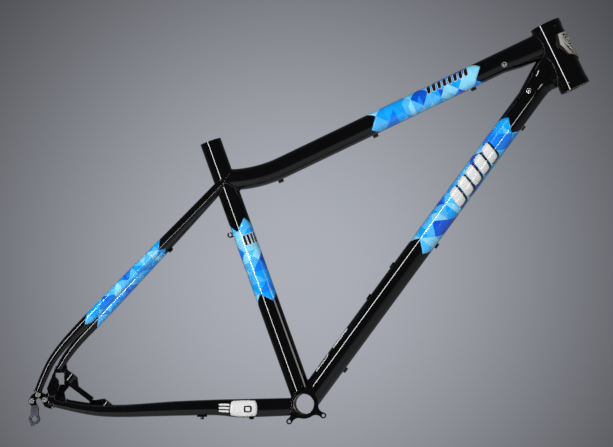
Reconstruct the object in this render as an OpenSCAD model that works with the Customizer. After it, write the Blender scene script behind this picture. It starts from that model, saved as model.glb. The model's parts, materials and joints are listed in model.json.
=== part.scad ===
// Welded steel mountain bicycle frame for 26 inch wheels and a rear disc brake.
// Millimetres. The origin is the bottom bracket centre, +X points forward,
// +Y to the rider's left and +Z up, as the frame stands on level ground.

/* [Frame geometry] */
// Height of the head tube top above the bottom bracket
stack = 596; // [580:1:610]
// Distance of the head tube top ahead of the bottom bracket
reach = 421; // [410:1:430]
// Head tube angle from the ground, degrees
head_angle = 67.5; // [66.5:0.5:68.5]
// Seat tube angle from the ground, degrees
seat_angle = 73; // [72:0.5:74]
// Seat tube length, bottom bracket centre to top
seat_tube_len = 455; // [445:1:470]
// Bottom bracket centre to rear axle
chainstay_len = 425; // [420:1:432]
// Height of the rear axle above the bottom bracket
bb_drop = 26; // [20:1:32]
// Distance between the inner faces of the rear dropouts
rear_spacing = 135; // [130:1:142]

/* [Head tube] */
// Length of the head tube
head_tube_len = 115; // [110:1:120]
// Outer diameter between the end rings
head_tube_od = 49.4; // [48.5:0.1:50]
// Bore for a press-in headset
head_bore = 44; // [43.9:0.1:44.1]
// Outer diameter of the end rings
head_ring_od = 51; // [50:0.5:52]
// Length of each end ring
head_ring_len = 11; // [8:1:14]

/* [Main tubes] */
// Seat tube outer diameter
seat_tube_od = 34.9; // [34.9:0.1:35]
// Seat post bore
seatpost_bore = 31.6; // [30.9:0.1:31.6]
// Depth of the seat post bore from the top of the seat tube
seatpost_depth = 300; // [250:5:350]
// Top tube outer diameter
top_tube_od = 34.9; // [31.8:0.1:34.9]
// Down tube outer diameter
down_tube_od = 38.1; // [36:0.1:38.1]
// Wall of the top and down tubes
tube_wall = 1.4; // [1:0.1:2]
// Top tube centre below the top of the head tube, along the head tube
top_tube_at_head = 25; // [23:0.5:27]
// Top tube centre below the top of the seat tube, along the seat tube
top_tube_at_seat = 67; // [60:1:72]
// Slope of the top tube where it leaves the seat tube, degrees
top_tube_start_slope = -4; // [-6:0.5:-2]
// Bend radius of the top tube behind the seat tube joint
top_tube_bend = 212; // [190:1:230]
// Down tube centre below the top of the head tube, along the head tube
down_tube_at_head = 57.5; // [55:0.5:60]

/* [Bottom bracket] */
// Shell width
shell_len = 73; // [73:1:73]
// Shell outer diameter
shell_od = 40; // [40:0.5:42]
// Shell bore, the minor diameter of its thread
shell_bore = 33.8; // [33.6:0.1:34]
// Radius of the chain guide bolt circle
guide_bolt_r = 36.5; // [36:0.1:37]
// Angle between neighbouring chain guide tabs, degrees
guide_tab_step = 100.2; // [98:0.1:102]
// Angle of the front chain guide tab, degrees
guide_tab_start = -32.8; // [-35:0.1:-30]
// Thickness of the chain guide plate
guide_plate_t = 4; // [3:0.5:5]

/* [Rear triangle] */
// Wall of the chain stays and seat stays
stay_wall = 1.2; // [1:0.1:1.5]
// Seat stay centre on the seat tube, from the bottom bracket
seatstay_at_seat = 386; // [380:1:392]
// Thickness of the right dropout plate
right_plate_t = 6; // [5:0.5:7]
// Thickness of the left dropout plate
left_plate_t = 7; // [6:0.5:8]
// Width of the axle slot
axle_slot_w = 10; // [9.8:0.1:10.4]
// Direction in which the axle slots open, degrees
axle_slot_angle = -66; // [-70:1:-60]
// Thickness of the hanger where it is bolted on
hanger_tab_t = 3.5; // [3:0.5:4]
// Thickness of the hanger eye
hanger_eye_t = 7.5; // [7:0.5:8]
// Minor diameter of the derailleur thread
hanger_bore = 9.1; // [9:0.1:9.2]

/* [Disc brake mount] */
// Distance between the two brake bolts
post_spacing = 74; // [74:0.2:74.2]
// Outer diameter of each post
post_od = 19; // [17:0.5:20]
// Minor diameter of the brake bolt thread
post_bore = 5; // [5:0.1:5.2]
// Slope of the line through the two post faces, degrees
post_line_slope = -40.7; // [-42:0.1:-39]

/* [Fittings] */
// Distance between the bottle cage bosses
bottle_spacing = 64; // [64:0.1:64.2]
// Lower bottle boss, measured along the down tube
bottle_start = 201.5; // [195:0.5:210]
// Minor diameter of the bottle boss thread
bottle_bore = 4.2; // [4.1:0.1:4.3]
// Bore of the full-length cable guides
cable_bore = 5.2; // [5:0.1:5.6]
// Angle of the top and down tube guides round from the underside to the left, degrees
guide_turn = 38; // [30:1:45]

/* [Hidden] */
$fn = 64;
// Points round each swept tube, and steps between its sections
RINGS = 28;
STEPS = 3;
PAINT = [0.05, 0.05, 0.055];

// Side-view points are [x, z]
head_top = [reach, stack];
head_down = [cos(head_angle), -sin(head_angle)];
seat_up = [-cos(seat_angle), sin(seat_angle)];
axle = [-sqrt(chainstay_len * chainstay_len - bb_drop * bb_drop), bb_drop];

// Top tube: an arc from the seat tube, then a straight run to the head tube
tt_seat = seat_up * (seat_tube_len - top_tube_at_seat);
tt_head = head_top + head_down * top_tube_at_head;
tt_hub = tt_seat + top_tube_bend * dir(top_tube_start_slope + 90);
tt_turn_end = angle_of(tt_head - tt_hub) - acos(top_tube_bend / norm(tt_head - tt_hub));
tt_tangent = tt_hub + top_tube_bend * dir(tt_turn_end);
tt_slope = tt_turn_end + 90;

// Down tube: from the bottom bracket centre to the head tube
dt_head = head_top + head_down * down_tube_at_head;
dt_slope = angle_of(dt_head);
dt_len = norm(dt_head);

// The cutter for tubes that meet the head tube runs on by this much at each end
head_clear = 5;

// Planes of the dropout plates and of the stays' ends
right_plate_in = rear_spacing / 2 + hanger_tab_t;
right_stay_y = right_plate_in + right_plate_t / 2;
left_stay_y = rear_spacing / 2 + left_plate_t / 2;

// Stay centre lines end on the dropouts
seatstay_top = seat_up * seatstay_at_seat;
seatstay_end = axle + [-1, 15];
chainstay_end = axle + [25, -3];

// Seat stay sections: [fraction of the way down, bow outwards, share of the spread, radius]
SEATSTAY = [[0, 0, 0, 8], [0.2, 4, 0.25, 8.5], [0.5, 11.2, 0.69, 8.7], [0.67, 15.3, 0.865, 8.4],
    [0.79, 18, 0.937, 7.4], [0.87, 16.5, 0.968, 6.7], [0.93, 10.5, 0.99, 6.4], [1, 0, 1, 6]];
seatstay_top_y = 9.5;
// The left seat stay stops short, on the taller dropout that carries the brake
left_seatstay_end = [0.915, 12.4, 1, 6.4];
LEFT_SEATSTAY = concat([for (i = [0:5]) SEATSTAY[i]], [left_seatstay_end]);

// Chain stay sections: [fraction of the way back, sag, share of the spread,
// half height, half width]
CHAINSTAY = [[0.036, 4.5, 0, 14, 7.2], [0.19, 7.4, 0.25, 14.5, 7.5], [0.255, 8.1, 0.33, 14.2, 7.8],
    [0.335, 7.2, 0.43, 12.2, 8.6], [0.51, 10.1, 0.62, 11.3, 8.8], [0.71, 14.9, 0.84, 9.2, 8.2],
    [0.82, 12.7, 0.93, 7.6, 7.2], [0.94, 3.6, 1, 5.5, 6]];
chainstay_front_y = 27;
// Both bridges join the stays at this section
bridge_section = 3;

post_dir = dir(post_line_slope + 90);
post_mid = axle + [67, 17];
upper_post_len = 14;
lower_post_len = 20;
upper_thread = 11;
lower_thread = 14;
upper_post = post_mid - dir(post_line_slope) * post_spacing / 2;
lower_post = post_mid + dir(post_line_slope) * post_spacing / 2;

// The threaded body of each bottle boss sits this far into the down tube
boss_depth = 10;
boss_body_d = 7;

hanger_eye = axle + [-8.7, -28];
dropout_r = 15;
// Hanger bolts: circle round the axle, shank in the dropout and thinner end in the hanger
hanger_bolt_r = 10.7;
hanger_bolt_d = 5;
hanger_bolt_tip_d = 4.2;
HANGER_BOLT_ANGLES = [175, 90, 12];

function dir(a) = [cos(a), sin(a)];
function angle_of(v) = atan2(v.y, v.x);
function unit(v) = v / norm(v);
function mix(a, b, f) = a + (b - a) * f;
function side_normal(v) = [-v.y, v.x];

// Catmull-Rom curve through a list of equally long vectors
function spline(k, n) = [for (i = [0:len(k) - 2]) for (j = [0:n - 1])
    let (a = k[max(i - 1, 0)], b = k[i], c = k[i + 1], d = k[min(i + 2, len(k) - 1)], t = j / n)
    (2 * b + (c - a) * t + (2 * a - 5 * b + 4 * c - d) * t * t
        + (3 * b - a - 3 * c + d) * t * t * t) / 2, k[len(k) - 1]];

// One ring of a swept tube; a section is [x, y, z, upper, lower, half width]
function ring(s, along, skin) = let (
    side = unit([0, 1, 0] - along * along.y),
    up = cross(along, side) * (cross(along, side).z < 0 ? -1 : 1))
    [for (i = [0:RINGS - 1]) let (a = 360 * i / RINGS)
        [s[0], s[1], s[2]] + side * (s[5] - skin) * sin(a)
            + up * ((cos(a) > 0 ? s[3] : s[4]) - skin) * cos(a)];
function centre(s) = [s[0], s[1], s[2]];
function heading(s, i) = unit(centre(s[min(i + 1, len(s) - 1)]) - centre(s[max(i - 1, 0)]));
function rings(s, skin) = [for (i = [0:len(s) - 1]) each ring(s[i], heading(s, i), skin)];

// Hollow tube through a list of sections, open at both ends
module swept_tube(s, wall) {
    n = len(s);
    total = n * RINGS;
    sides = [for (i = [0:n - 2]) for (j = [0:RINGS - 1]) let (k = (j + 1) % RINGS)
        [i * RINGS + j, i * RINGS + k, (i + 1) * RINGS + k, (i + 1) * RINGS + j]];
    bores = [for (f = sides) [for (v = [3:-1:0]) f[v] + total]];
    mouth = [for (j = [0:RINGS - 1]) let (k = (j + 1) % RINGS) [k, j, total + j, total + k]];
    last = total - RINGS;
    tail = [for (f = mouth) [for (v = [3:-1:0]) f[v] + last]];
    polyhedron(concat(rings(s, 0), rings(s, wall)), concat(sides, bores, mouth, tail));
}

function seatstay_sections(side, end_y) = let (
    run = seatstay_end - seatstay_top,
    out = -side_normal(unit(run)))
    spline([for (k = side < 0 ? SEATSTAY : LEFT_SEATSTAY)
        let (p = seatstay_top + run * k[0] + out * k[1])
        [p.x, side * mix(seatstay_top_y, end_y, k[2]), p.y, k[3], k[3], k[3]]], STEPS);

function chainstay_sections(side, end_y) =
    spline([for (k = CHAINSTAY) let (p = axle * k[0] - [0, k[1]])
        [p.x, side * mix(chainstay_front_y, end_y, k[2]), p.y, k[3], k[3], k[4]]], STEPS);

// Puts local +Z along side-view direction a, starting at side-view point p
module aim(p, a, y = 0) {
    translate([p.x, y, p.y]) rotate([0, 90 - a, 0]) children();
}

// Extrudes a side-view outline from y = start towards +Y
module plate(start, thickness) {
    translate([0, start + thickness, 0]) rotate([90, 0, 0]) linear_extrude(thickness) children();
}

module disc2(p, r) {
    translate(p) circle(r);
}

module bar2(p, q, w) {
    translate(p) rotate(angle_of(q - p)) translate([0, -w / 2]) square([norm(q - p), w]);
}

module head_solid(extra) {
    aim(head_top, -head_angle) translate([0, 0, -extra])
        cylinder(h = head_tube_len + 2 * extra, d = head_tube_od);
}

module seat_solid() {
    aim([0, 0], 180 - seat_angle) cylinder(h = seat_tube_len, d = seat_tube_od);
}

module shell_solid() {
    rotate([90, 0, 0]) cylinder(h = shell_len, d = shell_od, center = true);
}

module head_tube() {
    chamfer = 0.7;
    mouth_r = head_bore / 2 + chamfer;
    color(PAINT) aim(head_top, -head_angle) difference() {
        union() {
            cylinder(h = head_tube_len, d = head_tube_od);
            cylinder(h = head_ring_len, d = head_ring_od);
            translate([0, 0, head_tube_len - head_ring_len])
                cylinder(h = head_ring_len, d = head_ring_od);
        }
        translate([0, 0, -1]) cylinder(h = head_tube_len + 2, d = head_bore);
        cylinder(h = chamfer, r1 = mouth_r, r2 = head_bore / 2);
        translate([0, 0, head_tube_len - chamfer])
            cylinder(h = chamfer, r1 = head_bore / 2, r2 = mouth_r);
    }
}

// Curved shield on the front of the head tube, with a raised rim
module head_badge() {
    top = 25;
    tall = 49;
    half = 25.2;
    skin = 1.2;
    rim_h = 0.5;
    inset = 0.88;
    // Share of the shield's height and of its half width at each corner
    CORNERS = [[0, -0.94], [0, 0.94], [0.35, 1], [0.75, 0.88], [1, 0], [0.75, -0.88], [0.35, -1]];
    shield = [for (c = CORNERS) [top + tall * c.x, half * c.y]];
    middle = [top + tall * 0.45, 0];
    window = [for (p = shield) mix(middle, p, inset)];
    color([0.75, 0.73, 0.68]) aim(head_top, -head_angle) difference() {
        intersection() {
            difference() {
                cylinder(h = head_tube_len, d = head_tube_od + 2 * (skin + rim_h));
                translate([0, 0, -1]) cylinder(h = head_tube_len + 2, d = head_tube_od);
            }
            rotate([0, -90, 0]) linear_extrude(head_tube_od)
                polygon(shield);
        }
        intersection() {
            difference() {
                cylinder(h = head_tube_len, d = 2 * head_tube_od);
                translate([0, 0, -1]) cylinder(h = head_tube_len + 2, d = head_tube_od + 2 * skin);
            }
            rotate([0, -90, 0]) linear_extrude(head_tube_od)
                polygon(window);
        }
    }
}

// Top tube sections for the given radius: the bend, the straight run, then a flare;
// each flare step is [distance from the head tube axis, added depth of the underside]
function top_tube_sections(r) = let (
    bends = 9,
    long = norm(tt_head - tt_tangent),
    flare = [[95, 0], [86, 1.2], [65, 4.6], [40, 6.2], [0, 7]])
    concat([for (i = [0:bends]) let (
            p = tt_hub + top_tube_bend * dir(mix(top_tube_start_slope, tt_slope, i / bends) - 90))
            [p.x, 0, p.y, r, r, r]],
        [for (k = flare) let (p = tt_tangent + dir(tt_slope) * (long - k[0]))
            [p.x, 0, p.y, r, r + k[1], r]]);

module top_tube() {
    color(PAINT) difference() {
        swept_tube(top_tube_sections(top_tube_od / 2), tube_wall);
        seat_solid();
        head_solid(head_clear);
    }
}

// The down tube flares where it meets the head tube; each step is [distance from the
// head tube axis, then what is added to the upper depth, lower depth and half width]
module down_tube() {
    r = down_tube_od / 2;
    flare = [[dt_len, 0, 0, 0], [88, 0, 0, 0], [70, 2.6, 0, 0], [58, 4.3, 0.6, 0],
        [51, 5.3, 3.2, 0], [44, 6.3, 7.2, -0.3], [0, 9.5, 8.5, -1]];
    color(PAINT) difference() {
        swept_tube([for (k = flare) let (p = dir(dt_slope) * (dt_len - k[0]))
            [p.x, 0, p.y, r + k[1], r + k[2], r + k[3]]], tube_wall);
        shell_solid();
        seat_solid();
        head_solid(head_clear);
        at_bottle_bosses() translate([0, 0, -boss_depth])
            cylinder(h = boss_depth + 1, d = boss_body_d);
    }
}

module seat_tube() {
    slot_w = 2.5;
    slot_len = 32;
    // The wall is thicker below the seat post bore
    butt = 0.6;
    color(PAINT) difference() {
        seat_solid();
        aim([0, 0], 180 - seat_angle) {
            translate([0, 0, -1]) cylinder(h = seat_tube_len, d = seatpost_bore - butt);
            translate([0, 0, seat_tube_len - seatpost_depth])
                cylinder(h = seatpost_depth + 1, d = seatpost_bore);
        }
        shell_solid();
        aim([0, 0], 180 - seat_angle) {
            translate([-seat_tube_od, -slot_w / 2, seat_tube_len - slot_len])
                cube([seat_tube_od, slot_w, slot_len + 1]);
            translate([-seat_tube_od, 0, seat_tube_len - slot_len]) rotate([0, 90, 0])
                cylinder(h = seat_tube_od, d = 2 * slot_w);
        }
    }
}

module bottom_bracket_shell() {
    color(PAINT) rotate([90, 0, 0]) difference() {
        cylinder(h = shell_len, d = shell_od, center = true);
        cylinder(h = shell_len + 2, d = shell_bore, center = true);
    }
}

// Chain guide ring on the drive side with three threaded tabs
module chain_guide_plate() {
    ring_r = 23.5;
    eye_r = 4.8;
    hole_d = 5;
    waist_r = 11;
    gap = 0.15;
    to_ring = ring_r + waist_r + gap;
    to_eye = eye_r + waist_r + gap;
    waist_x = (to_ring * to_ring - to_eye * to_eye + guide_bolt_r * guide_bolt_r)
        / (2 * guide_bolt_r);
    waist_y = sqrt(to_ring * to_ring - waist_x * waist_x);
    KITE = [[0, 0], [waist_x, -waist_y], [guide_bolt_r, 0], [waist_x, waist_y]];
    color(PAINT) plate(-shell_len / 2 + 2.5, guide_plate_t) difference() {
        union() {
            circle(ring_r);
            for (i = [-1:1]) rotate(guide_tab_start + i * guide_tab_step) {
                difference() {
                    polygon(KITE);
                    for (s = [-1, 1]) translate([waist_x, s * waist_y]) circle(waist_r);
                }
                translate([guide_bolt_r, 0]) circle(eye_r);
            }
        }
        circle(d = shell_od);
        for (i = [-1:1]) rotate(guide_tab_start + i * guide_tab_step)
            translate([guide_bolt_r, 0]) circle(d = hole_d);
    }
}

module chainstay(side, end_y) {
    color(PAINT) difference() {
        swept_tube(chainstay_sections(side, end_y), stay_wall);
        shell_solid();
        children();
    }
}

module right_chainstay() {
    chainstay(-1, right_stay_y) right_plate();
}

// The core of the lower brake post goes through a hole in the stay's upper wall
module left_chainstay() {
    chainstay(1, left_stay_y) {
        left_plate();
        lower_post_core();
    }
}

module seatstay(side, end_y) {
    color(PAINT) difference() {
        swept_tube(seatstay_sections(side, end_y), stay_wall);
        seat_solid();
        children();
    }
}

module right_seatstay() {
    seatstay(-1, right_stay_y) right_plate();
}

module left_seatstay() {
    seatstay(1, left_stay_y) left_plate();
}

// Straight tube across the frame between two sections, coped to their surfaces
module bridge(right, left, d, slope) {
    p = [(right[0] + left[0]) / 2, (right[2] + left[2]) / 2];
    difference() {
        translate([p.x, (right[1] + left[1]) / 2, p.y]) rotate([90, 0, 0])
            cylinder(h = left[1] - right[1], d = d, center = true);
        for (s = [right, left]) aim(p - dir(slope) * d, slope, s[1])
            cylinder(h = 2 * d, r = s[5]);
    }
}

module chainstay_bridge() {
    chainstay_slope = 176;
    r = chainstay_sections(-1, right_stay_y);
    l = chainstay_sections(1, left_stay_y);
    color(PAINT) bridge(r[bridge_section], l[bridge_section], 14, chainstay_slope);
}

module seatstay_bridge() {
    seatstay_slope = 44;
    r = seatstay_sections(-1, right_stay_y);
    l = seatstay_sections(1, left_stay_y);
    color(PAINT) bridge(r[bridge_section], l[bridge_section], 12, seatstay_slope);
}

module axle_slot2() {
    run_out = 40;
    bar2(axle, axle + run_out * dir(axle_slot_angle), axle_slot_w);
    disc2(axle, axle_slot_w / 2);
}

// Right dropout outline: a disc cut off below, a tongue forward to the chain stay, an arm
// up to the seat stay and a pad round each hanger bolt
module right_plate2() {
    pad_r = 5.6;
    below = 5.5;
    arm_w = 10;
    difference() {
        union() {
            for (a = HANGER_BOLT_ANGLES) disc2(axle + hanger_bolt_r * dir(a), pad_r);
            intersection() {
                disc2(axle, dropout_r);
                translate(axle - [dropout_r, below]) square(2 * dropout_r);
            }
            translate(axle + [2, -9.8]) square([24, 19]);
            bar2(axle + [-1, 8], seatstay_end + [4, 9], arm_w);
        }
        axle_slot2();
        for (a = HANGER_BOLT_ANGLES) disc2(axle + hanger_bolt_r * dir(a), hanger_bolt_d / 2);
    }
}

module right_plate() {
    plate(-right_plate_in - right_plate_t, right_plate_t) right_plate2();
}

// Drive side dropout: slotted plate and two round-ended ribs that run on to the chain stay
module right_dropout() {
    rib_r = 5.4;
    rib_len = 9;
    rib_start = 17.5;
    big = 4 * rib_r;
    color(PAINT) {
        right_plate();
        for (rise = [9.2, -3]) translate([axle.x + rib_start, -right_stay_y, axle.y + rise])
            difference() {
                union() {
                    sphere(rib_r);
                    rotate([0, 90, 0]) cylinder(h = rib_len, r = rib_r);
                }
                translate([-big / 2, -right_plate_t / 2, -big / 2]) cube([big, right_plate_t, big]);
            }
    }
}

// Left dropout outline and its window, as points from the axle
module left_plate2() {
    OUTLINE = [[0, -12], [24, -9], [24, 0.5], [22.4, 12], [31.4, 21.8], [46.4, 21], [45.5, 34],
        [33, 44], [29, 50], [28, 59], [19, 63], [9.5, 54], [2.2, 38.1], [-6.3, 19.5]];
    WINDOW = [[8.8, 38.5], [13.6, 33], [14, 25.3], [23, 25], [23.6, 44], [9.4, 44.7]];
    heel_r = 14;
    translate(axle) difference() {
        union() {
            circle(heel_r);
            polygon(OUTLINE);
        }
        polygon(WINDOW);
    }
}

module left_plate() {
    plate(rear_spacing / 2, left_plate_t) difference() {
        left_plate2();
        axle_slot2();
    }
}

module left_dropout() {
    color(PAINT) difference() {
        left_plate();
        post_solid(upper_post, upper_post_len);
    }
}

// Replaceable hanger: a thin tab behind the dropout and a thick eye below it
module derailleur_hanger() {
    arm_top = axle - [6.4, 4];
    arm_w = 12.4;
    below = 9.5;
    eye_r = 9;
    // The arm is as thick as the eye up to this height above the eye's centre
    thick_h = 18;
    // Stop for the derailleur's adjusting screw
    stop = [5, 6];
    color([0.45, 0.45, 0.47]) difference() {
        union() {
            plate(-right_plate_in, hanger_tab_t) difference() {
                union() {
                    intersection() {
                        disc2(axle, dropout_r);
                        translate(axle - [dropout_r, below]) square([2 * dropout_r, 24]);
                    }
                    bar2(arm_top, hanger_eye, arm_w);
                }
                axle_slot2();
                for (a = HANGER_BOLT_ANGLES)
                    disc2(axle + hanger_bolt_r * dir(a), hanger_bolt_tip_d / 2);
            }
            plate(-rear_spacing / 2 - hanger_eye_t, hanger_eye_t) {
                intersection() {
                    bar2(arm_top, hanger_eye, arm_w);
                    translate(hanger_eye - [2 * arm_w, arm_w]) square([4 * arm_w, arm_w + thick_h]);
                }
                disc2(hanger_eye, eye_r);
                translate(hanger_eye + [-6, -11]) square(stop);
            }
        }
        translate([hanger_eye.x, 0, hanger_eye.y]) rotate([90, 0, 0])
            cylinder(h = rear_spacing, d = hanger_bore);
    }
}

module hanger_bolts() {
    head_h = 2.2;
    head_d = 8.8;
    socket_d = 3.4;
    socket_h = 1.6;
    play = 0.1;
    color([0.8, 0.8, 0.8]) for (a = HANGER_BOLT_ANGLES) {
        p = axle + hanger_bolt_r * dir(a);
        translate([p.x, -right_plate_in - right_plate_t, p.y]) rotate([90, 0, 0]) difference() {
            union() {
                cylinder(h = head_h, d = head_d);
                translate([0, 0, -right_plate_t])
                    cylinder(h = right_plate_t, d = hanger_bolt_d - play);
                translate([0, 0, -right_plate_t - hanger_tab_t])
                    cylinder(h = hanger_tab_t, d = hanger_bolt_tip_d - play);
            }
            translate([0, 0, head_h - socket_h]) cylinder(h = 2 * socket_h, d = socket_d, $fn = 6);
        }
    }
}

module post_solid(p, length) {
    aim(p - post_dir * length, angle_of(post_dir), left_stay_y)
        cylinder(h = length, d = post_od);
}

// Blind bolt hole in the post face at p
module post_thread(p, depth) {
    aim(p - post_dir * depth, angle_of(post_dir), left_stay_y)
        cylinder(h = depth + 1, d = post_bore);
}

// Short straight cylinders along the lower end of a stay, to cope what is welded to it
module stay_cutter(s) {
    pieces = 8;
    for (i = [len(s) - pieces - 1:len(s) - 2]) {
        a = [s[i][0], s[i][2]];
        b = [s[i + 1][0], s[i + 1][2]];
        aim(a, angle_of(b - a), s[i][1]) cylinder(h = norm(b - a) + 1, r = s[i][3]);
    }
}

module upper_brake_post() {
    color(PAINT) difference() {
        post_solid(upper_post, upper_post_len);
        post_thread(upper_post, upper_thread);
    }
}

// Threaded core of the lower post, which ends inside the chain stay
module lower_post_core() {
    core_d = 12;
    core_len = 17;
    aim(lower_post - post_dir * core_len, angle_of(post_dir), left_stay_y)
        cylinder(h = core_len, d = core_d);
}

module lower_brake_post() {
    color(PAINT) difference() {
        union() {
            difference() {
                post_solid(lower_post, lower_post_len);
                stay_cutter(chainstay_sections(1, left_stay_y));
            }
            lower_post_core();
        }
        post_thread(lower_post, lower_thread);
    }
}

// Flat strut from the left dropout down to the chain stay beside the lower post
module brake_brace() {
    width = 8.9;
    thick = 6;
    FOOT = [[66, -14], [80, -20], [92, -10], [86.5, -1.6], [74.4, -3.1], [62, -2]];
    color(PAINT) difference() {
        plate(left_stay_y - thick / 2, thick) difference() {
            union() {
                bar2(axle + [31, 27.8], axle + [68, -2.7], width);
                translate(axle) polygon(FOOT);
            }
            left_plate2();
        }
        post_solid(upper_post, upper_post_len);
        post_solid(lower_post, lower_post_len);
        stay_cutter(chainstay_sections(1, left_stay_y));
    }
}

// Puts its children on the upper side of the down tube with local +Z away from the tube
module at_bottle_bosses() {
    for (s = [bottle_start, bottle_start + bottle_spacing])
        aim(dir(dt_slope) * s + dir(dt_slope + 90) * down_tube_od / 2, dt_slope + 90) children();
}

// Threaded inserts: a body set into the tube and a flange on its surface
module bottle_bosses() {
    flange_d = 11;
    flange_h = 2;
    sink = 0.4;
    color([0.12, 0.12, 0.12]) at_bottle_bosses() difference() {
        union() {
            translate([0, 0, -boss_depth]) cylinder(h = boss_depth, d = boss_body_d);
            cylinder(h = flange_h, d = flange_d);
            intersection() {
                translate([0, 0, -sink]) cylinder(h = sink, d = flange_d);
                translate([0, 0, -down_tube_od / 2]) rotate([0, 90, 0]) difference() {
                    cylinder(h = flange_d, d = down_tube_od + 2 * flange_d, center = true);
                    cylinder(h = flange_d, d = down_tube_od, center = true);
                }
            }
        }
        translate([0, 0, -boss_depth - 1])
            cylinder(h = boss_depth + flange_h + 2, d = bottle_bore);
    }
}

// Open ring that holds a brake hose or gear cable against a tube; local +X runs along
// the tube and local +Z points away from it
module cable_guide() {
    long = 9;
    ring_d = cable_bore + 2.6;
    ring_z = ring_d / 2 + 0.5;
    foot_w = 7;
    foot_top = 1.7;
    sink = 1.5;
    gap = 1.6;
    difference() {
        union() {
            translate([-long / 2, 0, ring_z]) rotate([0, 90, 0]) cylinder(h = long, d = ring_d);
            translate([-long / 2, -foot_w / 2, -sink]) cube([long, foot_w, foot_top + sink]);
        }
        translate([-long, 0, ring_z]) rotate([0, 90, 0]) cylinder(h = 2 * long, d = cable_bore);
        translate([-long, -gap / 2, ring_z]) cube([2 * long, gap, ring_d]);
    }
}

// Puts a guide on a tube through side-view point p with slope a, turned round to the left
module guide_at(p, a, tube_od) {
    root = 0.2;
    translate([p.x, 0, p.y]) rotate([0, -a, 0]) rotate([180 + guide_turn, 0, 0]) difference() {
        translate([0, 0, tube_od / 2]) cable_guide();
        rotate([0, 90, 0]) cylinder(h = tube_od, d = tube_od - root, center = true);
    }
}

module top_tube_cable_guides() {
    straight = [159, 336];
    on_bend = 19.5;
    color(PAINT) {
        for (s = straight) guide_at(tt_tangent + dir(tt_slope) * s, tt_slope, top_tube_od);
        guide_at(tt_hub + dir(on_bend - 90) * top_tube_bend, on_bend, top_tube_od);
    }
}

module down_tube_cable_guides() {
    places = [83, 334, 572];
    color(PAINT)
        for (s = places) guide_at(dir(dt_slope) * s, dt_slope, down_tube_od);
}

// Hook behind the seat tube, open at the top, that holds a hose passing across the frame
module seat_tube_cable_hook() {
    height = 300;
    outer_r = 4.6;
    inner_r = 2.6;
    wide = 8;
    mouth = 2.4;
    reach_out = seat_tube_od / 2 + 4;
    foot = reach_out - 10;
    color(PAINT) difference() {
        aim(seat_up * height, 180 - seat_angle) translate([-reach_out, wide / 2, 0])
            rotate([90, 0, 0]) linear_extrude(wide) difference() {
                union() {
                    circle(outer_r);
                    translate([0, -outer_r]) square([foot, outer_r]);
                }
                circle(inner_r);
                translate([-mouth / 2, 0]) square([mouth, outer_r + 1]);
            }
        seat_solid();
    }
}

// Low saddle with a tapped stub for a cable clip; local +X runs along the stay and
// local +Z points away from it
module clip_mount(long, rise) {
    wide = 7;
    saddle = 2.5;
    stub_d = 5.5;
    tap_d = 2.5;
    sink = 3;
    difference() {
        union() {
            translate([-long / 2, -wide / 2, -sink]) cube([long, wide, saddle + sink]);
            cylinder(h = rise, d = stub_d);
        }
        translate([0, 0, rise - saddle]) cylinder(h = saddle + 1, d = tap_d);
    }
}

// Puts a clip mount under section i of a stay, moved down the stay by shift
module mount_on_stay(s, i, shift, long, rise) {
    a = [s[i][0], s[i][2]];
    b = [s[i + 1][0], s[i + 1][2]];
    slope = angle_of(a - b);
    p = a - dir(slope) * shift;
    reach_out = 60;
    root = 0.1;
    difference() {
        aim(p - dir(slope + 90) * s[i][4], slope - 90, s[i][1]) clip_mount(long, rise);
        aim(p - dir(slope) * reach_out / 2, slope, s[i][1])
            cylinder(h = reach_out, r = s[i][4] - root);
    }
}

module seatstay_clip_mount() {
    color(PAINT)
        mount_on_stay(seatstay_sections(1, left_stay_y), 4, 9, 9, 3.5);
}

module chainstay_clip_mounts() {
    stay = chainstay_sections(-1, right_stay_y);
    color(PAINT) {
        mount_on_stay(stay, 10, 0, 16, 6.5);
        mount_on_stay(stay, 3, 4, 8, 3.5);
    }
}

// Round bosses closed by domed plugs, on the right of the top and down tubes
module port_plugs() {
    turn = 22;
    before_head = 88;
    boss_d = 9;
    plug_r = 3;
    stands = 0.8;
    root = 0.4;
    // Side-view point, slope of the tube, turn below the horizontal, diameter of the tube
    PLACES = [[tt_head - dir(tt_slope) * before_head, tt_slope, turn, top_tube_od],
        [dir(dt_slope) * 624, dt_slope, -turn, down_tube_od]];
    for (k = PLACES)
        color([0.5, 0.5, 0.52]) translate([k[0].x, 0, k[0].y]) rotate([0, -k[1], 0])
            rotate([90 + k[2], 0, 0]) difference() {
                union() {
                    cylinder(h = k[3] / 2 + stands, d = boss_d);
                    translate([0, 0, k[3] / 2 + stands]) sphere(plug_r);
                }
                rotate([0, 90, 0]) cylinder(h = 2 * boss_d, d = k[3] - root, center = true);
            }
}

head_tube();
head_badge();
top_tube();
down_tube();
seat_tube();
bottom_bracket_shell();
chain_guide_plate();
right_chainstay();
left_chainstay();
chainstay_bridge();
right_seatstay();
left_seatstay();
seatstay_bridge();
right_dropout();
left_dropout();
derailleur_hanger();
hanger_bolts();
upper_brake_post();
lower_brake_post();
brake_brace();
bottle_bosses();
top_tube_cable_guides();
down_tube_cable_guides();
seat_tube_cable_hook();
seatstay_clip_mount();
chainstay_clip_mounts();
port_plugs();
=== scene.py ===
"""Looks for the bicycle frame: paint, faceted colour bands, weld beads, metals, studio and camera."""

import json
import math
import random

import bmesh
import bpy
import numpy as np
from mathutils import Matrix, Vector
from mathutils.bvhtree import BVHTree


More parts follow.
